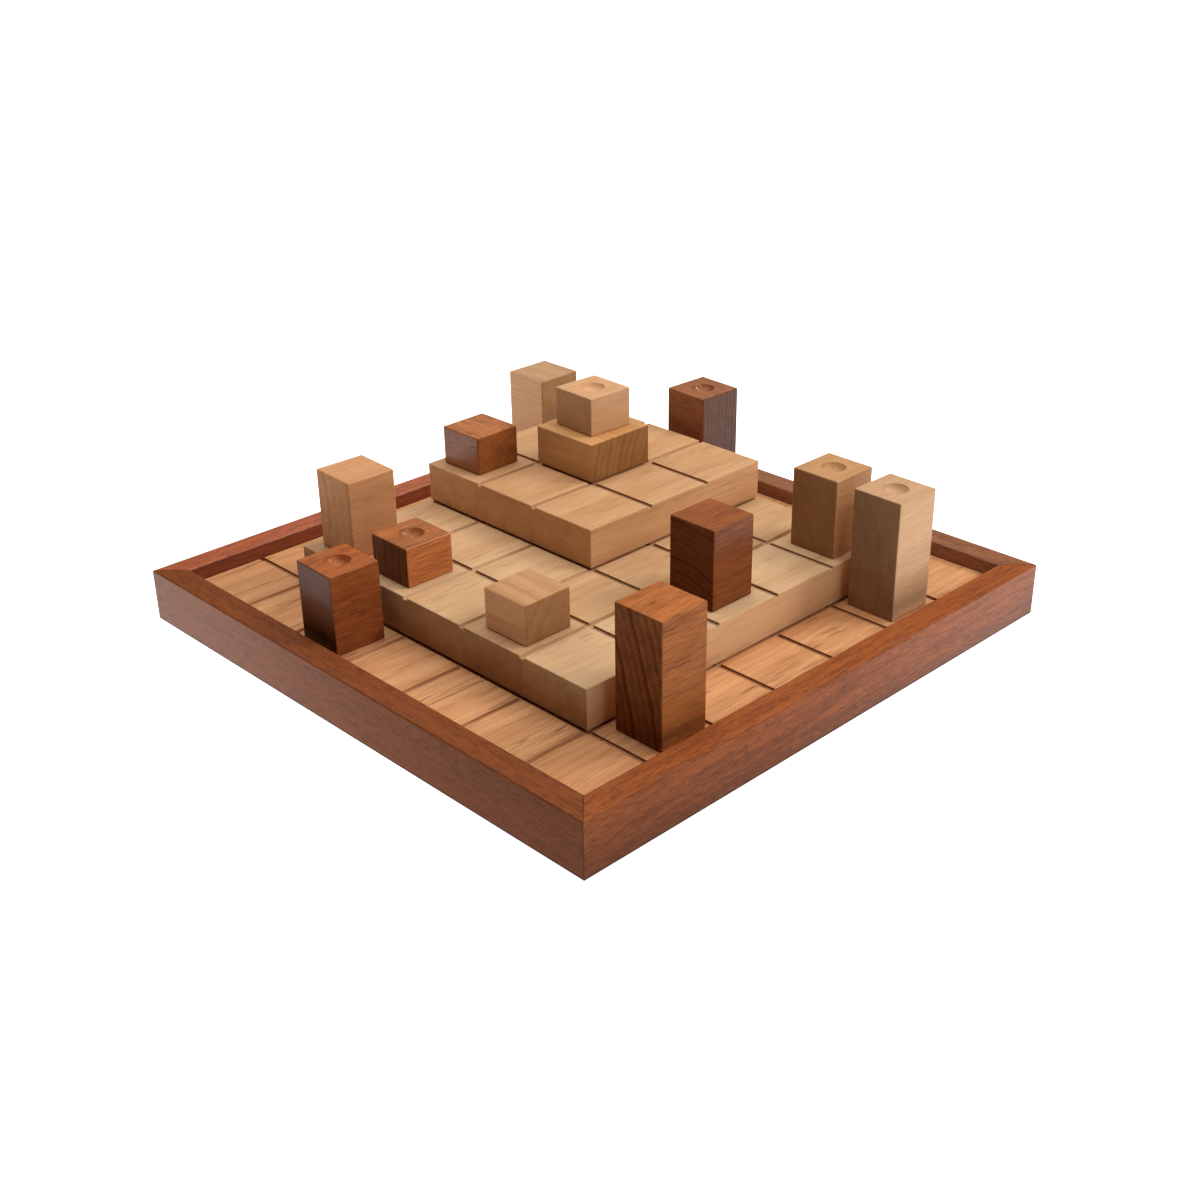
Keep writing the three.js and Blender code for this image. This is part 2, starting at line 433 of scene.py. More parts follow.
def all_of(tree, first, *others):
    """True where every test is."""
    for other in others:
        first = add(tree, "FunctionNodeBooleanMath", {0: first, 1: other}, operation="AND").outputs[0]
    return first


def stored(tree, geometry, name, value, data_type, domain):
    """Geometry with a named attribute."""
    inputs = {"Geometry": geometry, "Name": name, "Value": value}
    kind = "GeometryNodeStoreNamedAttribute"
    return add(tree, kind, inputs, data_type=data_type, domain=domain).outputs[0]


def moved(tree, geometry, position):
    return add(tree, "GeometryNodeSetPosition", {"Geometry": geometry, "Position": position}).outputs[0]


def shape_tree(name, inputs):
    """A geometry tree that takes these sizes and a wood."""
    sockets = [*inputs, ("Wood", "NodeSocketMaterial")]
    return new_tree(name, "GeometryNodeTree", sockets, [("Geometry", "NodeSocketGeometry")])


def end_shape(tree, geometry, wood, end):
    """The last steps of every shape: smooth shading, real geometry and its wood."""
    smooth = add(tree, "GeometryNodeSetShadeSmooth", {"Geometry": geometry}).outputs[0]
    real = add(tree, "GeometryNodeRealizeInstances", {"Geometry": smooth}).outputs[0]
    dressed = add(tree, "GeometryNodeSetMaterial", {"Geometry": real, "Material": wood}).outputs[0]
    tree.links.new(dressed, end.inputs[0])


def slab_lattice(tree, cells, pitch, kerf_width):
    """A flat grid with a line on each side of every kerf and the outermost lines on the slab's edges."""
    lines = maths(tree, "MULTIPLY", cells, 2.0)
    reach = maths(tree, "SUBTRACT", lines, 1.0)
    grid = add(tree, "GeometryNodeMeshGrid", {
        "Size X": reach, "Size Y": reach, "Vertices X": lines, "Vertices Y": lines,
    }).outputs["Mesh"]
    position = add(tree, "GeometryNodeInputPosition").outputs[0]
    half_cells = maths(tree, "MULTIPLY", cells, 0.5)
    middle = joined(tree, half_cells, half_cells, 0.0)
    # Counted by halves from the front left, the grid's lines are 0.5, 1, 1.5 and so on: n and n + 0.5 lie
    # on the two sides of cell line n. A little is added, so that rounding down is safe.
    halves = scaled(tree, vectors(tree, "ADD", position, (0.5, 0.5, 0.0)), 0.5)
    nudged = vectors(tree, "ADD", vectors(tree, "ADD", halves, middle), (0.1, 0.1, 0.0))
    cell_line = vectors(tree, "FLOOR", nudged)
    second = vectors(tree, "FLOOR", scaled(tree, vectors(tree, "FRACTION", nudged), 2.0))
    kerf_side = vectors(tree, "SUBTRACT", second, (0.5, 0.5, 0.0))
    # The outermost lines have no kerf beside them
    edge = maths(tree, "SUBTRACT", cells, 0.25)
    from_edge = vectors(tree, "SUBTRACT", joined(tree, edge, edge, 0.0), vectors(tree, "ABSOLUTE", position))
    inner = vectors(tree, "MINIMUM", vectors(tree, "FLOOR", from_edge), (1.0, 1.0, 0.0))
    kerf_offset = scaled(tree, vectors(tree, "MULTIPLY", kerf_side, inner), kerf_width)
    from_middle = vectors(tree, "SUBTRACT", cell_line, middle)
    return moved(tree, grid, vectors(tree, "ADD", scaled(tree, from_middle, pitch), kerf_offset))


def mark_slab_edges(tree, slab, half_side, thickness, kerf_depth):
    """Outward edges are to be eased, inward ones stay sharp, and the sawn floors and walls are marked."""
    bend = add(tree, "GeometryNodeInputMeshEdgeAngle").outputs["Signed Angle"]
    corner = math.radians(45.0)
    outward = compare(tree, "GREATER_THAN", bend, corner)
    inward = compare(tree, "LESS_THAN", bend, -corner)
    slab = stored(tree, slab, "bevel_weight_edge", outward, "FLOAT", "EDGE")
    slab = stored(tree, slab, "sharp_edge", inward, "BOOLEAN", "EDGE")
    x, y, z = split(tree, add(tree, "GeometryNodeInputPosition").outputs[0])
    # A sawn face's middle is within the sides, no lower than a kerf's floor and under the top, by a hair
    inside = maths(tree, "MULTIPLY", half_side, 0.999)
    above = maths(tree, "SUBTRACT", thickness, maths(tree, "MULTIPLY", kerf_depth, 1.01))
    below = maths(tree, "SUBTRACT", thickness, maths(tree, "MULTIPLY", kerf_depth, 0.01))
    sawn = all_of(
        tree,
        compare(tree, "LESS_THAN", maths(tree, "ABSOLUTE", x), inside),
        compare(tree, "LESS_THAN", maths(tree, "ABSOLUTE", y), inside),
        compare(tree, "GREATER_THAN", z, above),
        compare(tree, "LESS_THAN", z, below),
    )
    return stored(tree, slab, "sawn", sawn, "FLOAT", "FACE")


def kerfed_slab_tree():
    """A square slab sawn into cells: tiles on a plate, with sides that reach down to a closed underside."""
    tree, given, end = shape_tree("kerfed slab", [
        ("Cells", WHOLE), ("Pitch", NUMBER), ("Thickness", NUMBER),
        ("Kerf Width", NUMBER), ("Kerf Depth", NUMBER), ("Foot", VECTOR),
    ])
    cells, pitch, thickness = given["Cells"], given["Pitch"], given["Thickness"]
    kerf_depth = given["Kerf Depth"]
    underside = slab_lattice(tree, cells, pitch, given["Kerf Width"])
    kerf_floor = maths(tree, "SUBTRACT", thickness, kerf_depth)
    lift = add(tree, "GeometryNodeTransform", {
        "Geometry": underside, "Translation": joined(tree, 0.0, 0.0, kerf_floor),
    }).outputs[0]
    half_cell = maths(tree, "MULTIPLY", maths(tree, "MULTIPLY", pitch, pitch), 0.5)
    area = add(tree, "GeometryNodeInputMeshFaceArea").outputs[0]
    tiles = add(tree, "GeometryNodeExtrudeMesh", {
        "Mesh": lift, "Selection": compare(tree, "GREATER_THAN", area, half_cell),
        "Offset": joined(tree, 0.0, 0.0, 1.0), "Offset Scale": kerf_depth, "Individual": False,
    }, mode="FACES").outputs["Mesh"]
    # An edge with one face is on the plate's rim
    neighbours = add(tree, "GeometryNodeInputMeshEdgeNeighbors").outputs[0]
    sides = add(tree, "GeometryNodeExtrudeMesh", {
        "Mesh": tiles, "Selection": compare(tree, "LESS_THAN", neighbours, 1.5),
        "Offset": joined(tree, 0.0, 0.0, -1.0), "Offset Scale": kerf_floor,
    }, mode="EDGES").outputs["Mesh"]
    turned = add(tree, "GeometryNodeFlipFaces", {"Mesh": underside}).outputs[0]
    shell = add(tree, "GeometryNodeJoinGeometry", {"Geometry": sides})
    tree.links.new(turned, shell.inputs["Geometry"])
    closed = add(tree, "GeometryNodeMergeByDistance", {
        "Geometry": shell.outputs[0], "Distance": 0.01 * MM,
    }).outputs[0]
    half_side = maths(tree, "MULTIPLY", maths(tree, "MULTIPLY", cells, pitch), 0.5)
    marked = mark_slab_edges(tree, closed, half_side, thickness, kerf_depth)
    placed = add(tree, "GeometryNodeTransform", {"Geometry": marked, "Translation": given["Foot"]}).outputs[0]
    end_shape(tree, placed, given["Wood"], end)
    return tree


def mitred_rail_tree():
    """A rail with eased long edges, drawn along X, its ends cut back to mitres, then turned to its side."""
    tree, given, end = shape_tree("mitred rail", [
        ("Frame Side", NUMBER), ("Width", NUMBER), ("Height", NUMBER), ("Ease", NUMBER),
        ("Ease Steps", WHOLE), ("Glue Line", NUMBER), ("Turn", NUMBER),
    ])
    section = add(tree, "GeometryNodeCurvePrimitiveQuadrilateral", {
        "Width": given["Width"], "Height": given["Height"],
    }).outputs[0]
    eased = add(tree, "GeometryNodeFilletCurve", {
        "Curve": section, "Radius": given["Ease"], "Count": given["Ease Steps"],
    }, mode="POLY").outputs[0]
    path = add(tree, "GeometryNodeCurvePrimitiveLine", {
        "Start": (-1.0, 0.0, 0.0), "End": (1.0, 0.0, 0.0),
    }).outputs[0]
    bar = add(tree, "GeometryNodeCurveToMesh", {
        "Curve": path, "Profile Curve": eased, "Fill Caps": True,
    }).outputs[0]
    x, y, z = split(tree, add(tree, "GeometryNodeInputPosition").outputs[0])
    half_width = maths(tree, "MULTIPLY", given["Width"], 0.5)
    half_side = maths(tree, "MULTIPLY", given["Frame Side"], 0.5)
    behind_face = maths(tree, "ADD", y, half_width)
    half_glue = maths(tree, "MULTIPLY", given["Glue Line"], math.sqrt(0.5))
    reach = maths(tree, "SUBTRACT", maths(tree, "SUBTRACT", half_side, behind_face), half_glue)
    up = maths(tree, "MULTIPLY_ADD", given["Height"], 0.5, z)
    along = maths(tree, "MULTIPLY", x, reach)
    sheared = joined(tree, along, maths(tree, "SUBTRACT", behind_face, half_side), up)
    turned = add(tree, "ShaderNodeVectorRotate", {
        "Vector": sheared, "Angle": given["Turn"],
    }, rotation_type="Z_AXIS").outputs[0]
    end_shape(tree, moved(tree, bar, turned), given["Wood"], end)
    return tree


def playing_piece_tree():
    """A square block with rounded edges and corners, whose top may be sunk to a dimple.

    The block starts as a lattice with unit steps. Its outer steps bend round the edges, and on the top its
    inner rings of steps become the circles of the dimple.
    """
    tree, given, end = shape_tree("playing piece", [
        ("Side", NUMBER), ("Height", NUMBER), ("Ease", NUMBER), ("Ease Steps", WHOLE),
        ("Dimpled", "NodeSocketBool"), ("Dimple Diameter", NUMBER), ("Dimple Depth", NUMBER),
        ("Dimple Rings", WHOLE), ("Turn", NUMBER), ("Foot", VECTOR),
    ])
    ease, steps, height = given["Ease"], given["Ease Steps"], given["Height"]
    flat_steps = maths(tree, "ADD", given["Dimple Rings"], 0.5)
    outer = maths(tree, "ADD", flat_steps, steps)
    outer_up = maths(tree, "ADD", steps, 0.5)
    outermost = joined(tree, outer, outer, outer_up)
    across = maths(tree, "MULTIPLY_ADD", outer, 2.0, 1.0)
    upward = maths(tree, "MULTIPLY_ADD", outer_up, 2.0, 1.0)
    lattice = add(tree, "GeometryNodeMeshCube", {
        "Size": scaled(tree, outermost, 2.0),
        "Vertices X": across, "Vertices Y": across, "Vertices Z": upward,
    }).outputs["Mesh"]
    position = add(tree, "GeometryNodeInputPosition").outputs[0]
    steps_out = vectors(tree, "ABSOLUTE", position)
    sign = vectors(tree, "SIGN", position)
    flat = joined(tree, flat_steps, flat_steps, 0.5)
    # Sockets 6 to 10 are the ones that take vectors
    round_share = add(tree, "ShaderNodeMapRange", {
        6: steps_out, 7: flat, 8: outermost, 9: (0.0, 0.0, 0.0), 10: (1.0, 1.0, 1.0),
    }, data_type="FLOAT_VECTOR").outputs[1]
    flat_share = vectors(tree, "MINIMUM", vectors(tree, "DIVIDE", steps_out, flat), (1.0, 1.0, 1.0))
    less_ease = maths(tree, "MULTIPLY", ease, -1.0)
    half_side = maths(tree, "MULTIPLY_ADD", given["Side"], 0.5, less_ease)
    half_height = maths(tree, "MULTIPLY_ADD", height, 0.5, less_ease)
    half = joined(tree, half_side, half_side, half_height)
    core = vectors(tree, "MULTIPLY", vectors(tree, "MULTIPLY", sign, flat_share), half)
    bend = vectors(tree, "TANGENT", scaled(tree, round_share, math.pi / 4))
    round_way = vectors(tree, "NORMALIZE", vectors(tree, "MULTIPLY", sign, bend))
    block_point = vectors(tree, "ADD", core, scaled(tree, round_way, ease))

    x, y, z = split(tree, position)
    x_steps, y_steps, _ = split(tree, steps_out)
    ring = maths(tree, "MAXIMUM", x_steps, y_steps)
    rim_ring = maths(tree, "SUBTRACT", given["Dimple Rings"], 0.5)
    on_top = compare(tree, "GREATER_THAN", z, maths(tree, "SUBTRACT", outer_up, 0.5))
    within_rim = compare(tree, "LESS_THAN", ring, given["Dimple Rings"])
    in_dimple = all_of(tree, given["Dimpled"], on_top, within_rim)
    rim_radius = maths(tree, "MULTIPLY", given["Dimple Diameter"], 0.5)
    depth = given["Dimple Depth"]
    squares = maths(tree, "MULTIPLY_ADD", rim_radius, rim_radius, maths(tree, "MULTIPLY", depth, depth))
    ball = maths(tree, "DIVIDE", squares, maths(tree, "MULTIPLY", depth, 2.0))
    rim_angle = maths(tree, "ARCSINE", maths(tree, "DIVIDE", rim_radius, ball))
    ring_angle = maths(tree, "MULTIPLY", rim_angle, maths(tree, "DIVIDE", ring, rim_ring))
    ring_radius = maths(tree, "MULTIPLY", ball, maths(tree, "SINE", ring_angle))
    rise = maths(tree, "MULTIPLY", ball, maths(tree, "SUBTRACT", 1.0, maths(tree, "COSINE", ring_angle)))
    bottom = maths(tree, "MULTIPLY_ADD", height, 0.5, maths(tree, "MULTIPLY", depth, -1.0))
    way_out = scaled(tree, vectors(tree, "NORMALIZE", joined(tree, x, y, 0.0)), ring_radius)
    bowl_point = vectors(tree, "ADD", way_out, joined(tree, 0.0, 0.0, maths(tree, "ADD", bottom, rise)))

    point = add(tree, "GeometryNodeSwitch", {
        "Switch": in_dimple, "False": block_point, "True": bowl_point,
    }, input_type="VECTOR").outputs[0]
    standing = vectors(tree, "ADD", point, joined(tree, 0.0, 0.0, maths(tree, "MULTIPLY", height, 0.5)))
    turned = add(tree, "ShaderNodeVectorRotate", {
        "Vector": standing, "Angle": given["Turn"],
    }, rotation_type="Z_AXIS").outputs[0]
    ring_of_top = maths(tree, "MULTIPLY", ring, all_of(tree, given["Dimpled"], on_top))
    ringed = stored(tree, lattice, "ring", ring_of_top, "FLOAT", "POINT")
    ringed = stored(tree, ringed, "bowl", in_dimple, "FLOAT", "POINT")
    piece = moved(tree, ringed, vectors(tree, "ADD", turned, given["Foot"]))
    edge_ring = add(tree, "GeometryNodeInputNamedAttribute", {"Name": "ring"}, data_type="FLOAT").outputs[0]
    off_rim = maths(tree, "ABSOLUTE", maths(tree, "SUBTRACT", edge_ring, rim_ring))
    on_rim = compare(tree, "LESS_THAN", off_rim, 0.1)
    piece = stored(tree, piece, "bevel_weight_edge", on_rim, "FLOAT", "EDGE")
    end_shape(tree, piece, given["Wood"], end)
    return tree


def shaped(name, tree, values, ease, steps):
    """Runs a geometry tree, eases the edges that it marked, and keeps the outcome as a plain mesh object."""
    source = bpy.data.objects.new(name, bpy.data.meshes.new(name))
    bpy.context.scene.collection.objects.link(source)
    shape = source.modifiers.new("Shape", "NODES")
    shape.node_group = tree
    for item in tree.interface.items_tree:
        if item.in_out == "INPUT":
            shape[item.identifier] = values[item.name]
    bevel = source.modifiers.new("Eased edges", "BEVEL")
    bevel.limit_method = "WEIGHT"
    bevel.width = ease
    bevel.segments = steps
    source.modifiers.new("Flat faces", "WEIGHTED_NORMAL").keep_sharp = True
    depsgraph = bpy.context.evaluated_depsgraph_get()
    mesh = bpy.data.meshes.new_from_object(source.evaluated_get(depsgraph), depsgraph=depsgraph)
    source.modifiers.clear()
    source.data = mesh
    if not mesh.polygons:
        raise RuntimeError(f"{name} came out empty")
    while mesh.materials[0] is None:
        mesh.materials.pop(index=0)
    return source


def take_place(piece, node, body):
    """The finished piece stands for its node and rides on the node's body."""
    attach(piece, body)
    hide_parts(node)


def make_rails():
    size = sizes()
    tree = mitred_rail_tree()
    for side, node in enumerate(RAILS):
        rail = shaped(f"{node}_oiled", tree, {
            "Frame Side": size.frame_side,
            "Width": size.rail_width,
            "Height": size.rail_height,
            "Ease": size.rail_ease,
            "Ease Steps": size.ease_steps,
            "Glue Line": size.glue_line,
            "Turn": side * math.pi / 2,
            "Wood": wood_material(node),
        }, size.rail_ease, size.ease_steps)
        take_place(rail, node, BOARD_BODY)


def make_slabs():
    size = sizes()
    tree = kerfed_slab_tree()
    for node, cells in SLAB_CELLS.items():
        slab = shaped(f"{node}_oiled", tree, {
            "Cells": cells,
            "Pitch": size.cell_pitch,
            "Thickness": size.slab_thickness,
            "Kerf Width": size.kerf_width,
            "Kerf Depth": size.kerf_depth,
            "Foot": box_foot(node),
            "Wood": wood_material(node),
        }, size.slab_ease, size.ease_steps)
        take_place(slab, node, BOARD_BODY)


def make_pieces(turns):
    size = sizes()
    tree = playing_piece_tree()
    for node, turn in turns.items():
        piece = shaped(f"{node}_oiled", tree, {
            "Side": size.piece_side,
            "Height": box_size(node).z,
            "Ease": size.piece_ease,
            "Ease Steps": size.ease_steps,
            "Dimpled": node.endswith("dimpled"),
            "Dimple Diameter": size.dimple_diameter,
            "Dimple Depth": size.dimple_depth,
            "Dimple Rings": size.dimple_rings,
            "Turn": math.radians(turn),
            "Foot": box_foot(node),
            "Wood": wood_material(node),
        }, size.rim_ease, size.ease_steps)
        take_place(piece, node, node)


# Woods


def stretched_noise(tree, log, across, along, detail):
    """Noise drawn out along the grain."""
    place = vectors(tree, "DIVIDE", log, joined(tree, across, along, across))
    inputs = {"Vector": place, "Scale": 1.0, "Detail": detail, "Roughness": 0.6}
    return add(tree, "ShaderNodeTexNoise", inputs).outputs["Fac"]


def mixed(tree, share, first, second, blend="MIX"):
    """One colour over another, by a share."""
    # Sockets 6 and 7, and output 2, are the ones for colours
    inputs = {0: share, 6: first, 7: second}
    return add(tree, "ShaderNodeMix", inputs, data_type="RGBA", blend_type=blend).outputs[2]


def ring_lines(tree, log, spacing, wander):
    """Growth rings round the pith: each darkens slowly to its late wood and ends sharply."""
    sway = maths(tree, "SUBTRACT", stretched_noise(tree, log, *SWAY_SIZE, 2.0), 0.5)
    across = vectors(tree, "MULTIPLY", log, (1.0, 0.0, 1.0))
    radius = add(tree, "ShaderNodeVectorMath", {0: across}, operation="LENGTH").outputs["Value"]
    count = maths(tree, "DIVIDE", maths(tree, "MULTIPLY_ADD", sway, wander, radius), spacing)
    share = maths(tree, "FRACT", count)
    late = maths(tree, "MULTIPLY", ramp(tree, share, *LATE_WOOD), ramp(tree, share, *RING_END, 1.0, 0.0))
    ring = maths(tree, "FLOOR", count)
    chance = add(tree, "ShaderNodeTexWhiteNoise", {"W": ring}, noise_dimensions="1D").outputs["Value"]
    return maths(tree, "MULTIPLY", late, ramp(tree, chance, 0.0, 1.0, FAINTEST_RING, 1.0))


def wood_figure_group():
    """Figure of solid wood, read in the log that it was sawn from, whose pith is the Y axis."""
    name = "wood figure"
    if name in bpy.data.node_groups:
        return bpy.data.node_groups[name]
    inputs = [("Log", VECTOR), ("Ring Spacing", NUMBER), ("Ring Wander", NUMBER)]
    for feature in FEATURES:
        inputs += [(f"{feature} Width", NUMBER), (f"{feature} Length", NUMBER)]
    outputs = [(feature, NUMBER) for feature in ("Rings", "Fibres", "Pores", "Patches")]
    tree, given, end = new_tree(name, "ShaderNodeTree", inputs, outputs)
    log = given["Log"]
    rings = ring_lines(tree, log, given["Ring Spacing"], given["Ring Wander"])
    fibres = stretched_noise(tree, log, given["Fibre Width"], given["Fibre Length"], 2.0)
    pores = stretched_noise(tree, log, given["Pore Width"], given["Pore Length"], 0.0)
    bands = stretched_noise(tree, log, *BAND_SIZE, 1.0)
    patches = stretched_noise(tree, log, given["Patch Width"], given["Patch Length"], 3.0)
    open_pores = maths(tree, "MULTIPLY", ramp(tree, pores, *PORE_RANGE), ramp(tree, bands, *BAND_RANGE))
    tree.links.new(rings, end.inputs["Rings"])
    tree.links.new(ramp(tree, fibres, *FIBRE_RANGE), end.inputs["Fibres"])
    tree.links.new(open_pores, end.inputs["Pores"])
    tree.links.new(ramp(tree, patches, *PATCH_RANGE), end.inputs["Patches"])
    return tree


def facing_group():
    """Where a surface faces along an axis, either way."""
    name = "facing"
    if name in bpy.data.node_groups:
        return bpy.data.node_groups[name]
    tree, given, end = new_tree(name, "ShaderNodeTree", [("Axis", VECTOR)], [("Facing", NUMBER)])
    both = {0: add(tree, "ShaderNodeTexCoord").outputs["Normal"], 1: given["Axis"]}
    along = add(tree, "ShaderNodeVectorMath", both, operation="DOT_PRODUCT").outputs["Value"]
    tree.links.new(ramp(tree, maths(tree, "ABSOLUTE", along), *FACING_RANGE), end.inputs["Facing"])
    return tree


def facing(tree, axis):
    mask = add(tree, "ShaderNodeGroup", node_tree=facing_group())
    mask.inputs["Axis"].default_value = axis
    return mask.outputs["Facing"]


def stave_tones(tree, place, node):
    """Each column of a slab is a stave of its own; gives the stave's tone."""
    low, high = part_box(node)
    inputs = {"Value": split(tree, place)[0], "From Min": low.x, "From Max": high.x}
    share = add(tree, "ShaderNodeMapRange", inputs).outputs[0]
    node_ramp = add(tree, "ShaderNodeValToRGB", {0: share})
    tones = STAVES[node]
    steps = node_ramp.color_ramp
    steps.interpolation = "CONSTANT"
    while len(steps.elements) < len(tones):
        steps.elements.new(1.0)
    for column, tone in enumerate(tones):
        steps.elements[column].position = column / len(tones)
        steps.elements[column].color = (tone, tone, tone, 1.0)
    return node_ramp.outputs[0]


def mitre_line(tree, place):
    """Glue squeezed into the fibres beside the frame's mitres, which lie on the board's diagonals."""
    x, y, _ = split(tree, vectors(tree, "ABSOLUTE", place))
    off_mitre = maths(tree, "ABSOLUTE", maths(tree, "SUBTRACT", x, y))
    return ramp(tree, off_mitre, *MITRE_FADE, MITRE_STRENGTH, 0.0)


def painted_lower_edge_shade(tree, place):
    """Painted shade on the lowest edge of the frame, darkest at the bottom."""
    return ramp(tree, split(tree, place)[2], *EDGE_SHADE_FADE, EDGE_SHADE_STRENGTH, 0.0)


def under_next_slab(tree, place, node):
    """Painted shade: where the next slab lies on a slab, its kerfs are painted black, as no light gets in."""
    slabs = list(SLAB_CELLS)
    low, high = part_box(slabs[slabs.index(node) + 1])
    reach = (high - low) / 2
    x, y, _ = split(tree, vectors(tree, "ABSOLUTE", vectors(tree, "SUBTRACT", place, (low + high) / 2)))
    inset = PAINTED_SHADE_INSET * sizes().kerf_width
    within_x = maths(tree, "LESS_THAN", x, reach.x - inset)
    within_y = maths(tree, "LESS_THAN", y, reach.y - inset)
    return maths(tree, "MULTIPLY", within_x, within_y)


def painted_sheen_share(tree, place):
    """Painted sheen: oil set thin round the board's front right corner and full well away from it."""
    x, y, _ = split(tree, place)
    return ramp(tree, maths(tree, "SUBTRACT", x, y), *PAINTED_SHEEN_FADE, 1.0, LEAST_PAINTED_SHEEN)


def log_place(tree, place, node):
    """Where a point of a blank lay in its log, and its tone."""
    wood = WOODS[node]
    low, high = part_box(node)
    turn = math.pi / 2 if wood.grain == "X" else 0.0
    middle = Matrix.Rotation(turn, 3, "Z") @ ((low + high) / 2)
    log = add(tree, "ShaderNodeMapping", {
        "Vector": place, "Location": Vector(wood.cut) * MM - middle, "Rotation": (0.0, 0.0, turn),
    }).outputs[0]
    if node not in STAVES:
        return log, PLAIN_TONE
    tone = stave_tones(tree, place, node)
    return vectors(tree, "ADD", log, scaled(tree, STAVE_SHIFT, tone)), tone


def wood_figure(tree, log, wood):
    """A blank's rings, fibres, pores and patches."""
    species = SPECIES[wood.species]
    figure = add(tree, "ShaderNodeGroup", node_tree=wood_figure_group())
    tree.links.new(log, figure.inputs["Log"])
    values = {"Ring Spacing": wood.spacing, "Ring Wander": wood.wander}
    for feature, size in zip(FEATURES, (species.fibre, species.pore, species.patch)):
        values[f"{feature} Width"], values[f"{feature} Length"] = size
    for name, value in values.items():
        figure.inputs[name].default_value = value * MM
    return tuple(figure.outputs)


def tinted(wood, kind):
    """A colour of a species, tinted as the blank is."""
    return (*(Vector(getattr(colours(), f"{wood.species}_{kind}")) * Vector(wood.tint)), 1.0)


def marks_and_painted_shade(tree, place, node, shade, end_grain):
    """A blank's colour with scorch and painted shade in kerfs, or a rail's glue and its painted lower shade.
    """
    if node in SLAB_CELLS:
        sawn = add(tree, "ShaderNodeAttribute", attribute_name="sawn").outputs["Fac"]
        # Kerf floors and walls darkened: partly scorching, partly painted shade, most on end grain walls
        scorch_and_shade = maths(tree, "MULTIPLY", sawn, maths(tree, "MULTIPLY_ADD", end_grain, END_SCORCH_AND_SHADE, KERF_SCORCH_AND_SHADE))
        shade = mixed(tree, scorch_and_shade, shade, (*colours().kerf, 1.0))
    if node in STAVES:
        # Painted shade: kerfs under the next slab are painted black
        shade = mixed(tree, under_next_slab(tree, place, node), shade, BLACK)
    if node in RAILS:
        glue_and_shade = (*colours().glue_and_shade, 1.0)
        shade = mixed(tree, mitre_line(tree, place), shade, glue_and_shade)
        # Painted shade on the frame's lowest edge, in the glue colour
        shade = mixed(tree, painted_lower_edge_shade(tree, place), shade, glue_and_shade)
    return shade


def wood_material(node):
    """An oiled blank: its figure, darker on end grain and kerfs, partly as painted shade, with painted top
    light.
    """
    wood = WOODS[node]
    material = bpy.data.materials.new(f"{node}_wood")
    material.use_nodes = True
    tree = material.node_tree
    shader = tree.nodes["Principled BSDF"]
    place = add(tree, "ShaderNodeTexCoord").outputs["Object"]
    log, tone = log_place(tree, place, node)
    rings, fibres, pores, patches = wood_figure(tree, log, wood)
    # Painted light: dimple walls take the top's brightness and lose the end grain's darkening
    bowl = add(tree, "ShaderNodeAttribute", attribute_name="bowl").outputs["Fac"]
    flat = maths(tree, "SUBTRACT", 1.0, bowl)
    end_grain = maths(tree, "MULTIPLY", facing(tree, GRAIN_WAYS[wood.grain]), flat)
    upward = maths(tree, "MAXIMUM", facing(tree, UPWARD), bowl)

    ring_strength = maths(tree, "MULTIPLY_ADD", end_grain, wood.end_rings - wood.rings, wood.rings)
    tone = maths(tree, "MULTIPLY_ADD", rings, ring_strength, tone)
    tone = maths(tree, "MULTIPLY_ADD", maths(tree, "SUBTRACT", fibres, 0.5), wood.fibres, tone)
    tone = maths(tree, "MULTIPLY_ADD", maths(tree, "SUBTRACT", patches, 0.5), wood.patches, tone)
    shade = mixed(tree, tone, tinted(wood, "pale"), tinted(wood, "deep"))
    shade = mixed(tree, maths(tree, "MULTIPLY", pores, wood.pores), shade, tinted(wood, "pore"))
    # End grain darkened by the blank's end value: partly its own colour, partly painted shade for its side
    shade = mixed(tree, end_grain, shade, (*(END_HUE * wood.end), 1.0), "MULTIPLY")
    # Painted light: tops and dimple walls made lighter or darker by the blank's top value, as light from
    # above
    shade = mixed(tree, upward, shade, (wood.top, wood.top, wood.top, 1.0), "MULTIPLY")
    shade = marks_and_painted_shade(tree, place, node, shade, end_grain)
    tree.links.new(shade, shader.inputs["Base Color"])

    least_roughness = SPECIES[wood.species].roughness
    roughness = maths(tree, "MULTIPLY_ADD", fibres, FIBRE_ROUGHNESS, least_roughness)
    tree.links.new(roughness, shader.inputs["Roughness"])
    shader.inputs["Specular IOR Level"].default_value = BARE_SHEEN
    # The oil's coat, with the painted sheen that thins it towards the front right corner
    oil = maths(tree, "MULTIPLY_ADD", end_grain, wood.end_oil - wood.oil, wood.oil)
    tree.links.new(maths(tree, "MULTIPLY", oil, painted_sheen_share(tree, place)), shader.inputs["Coat Weight"])
    shader.inputs["Coat Roughness"].default_value = OIL_ROUGHNESS
    relief = maths(tree, "SUBTRACT", maths(tree, "MULTIPLY", fibres, FIBRE_RELIEF), pores)
    bump = add(tree, "ShaderNodeBump", {"Height": relief, "Strength": 0.25, "Distance": 0.15 * MM})
    tree.links.new(bump.outputs[0], shader.inputs["Normal"])
    return material


# Studio


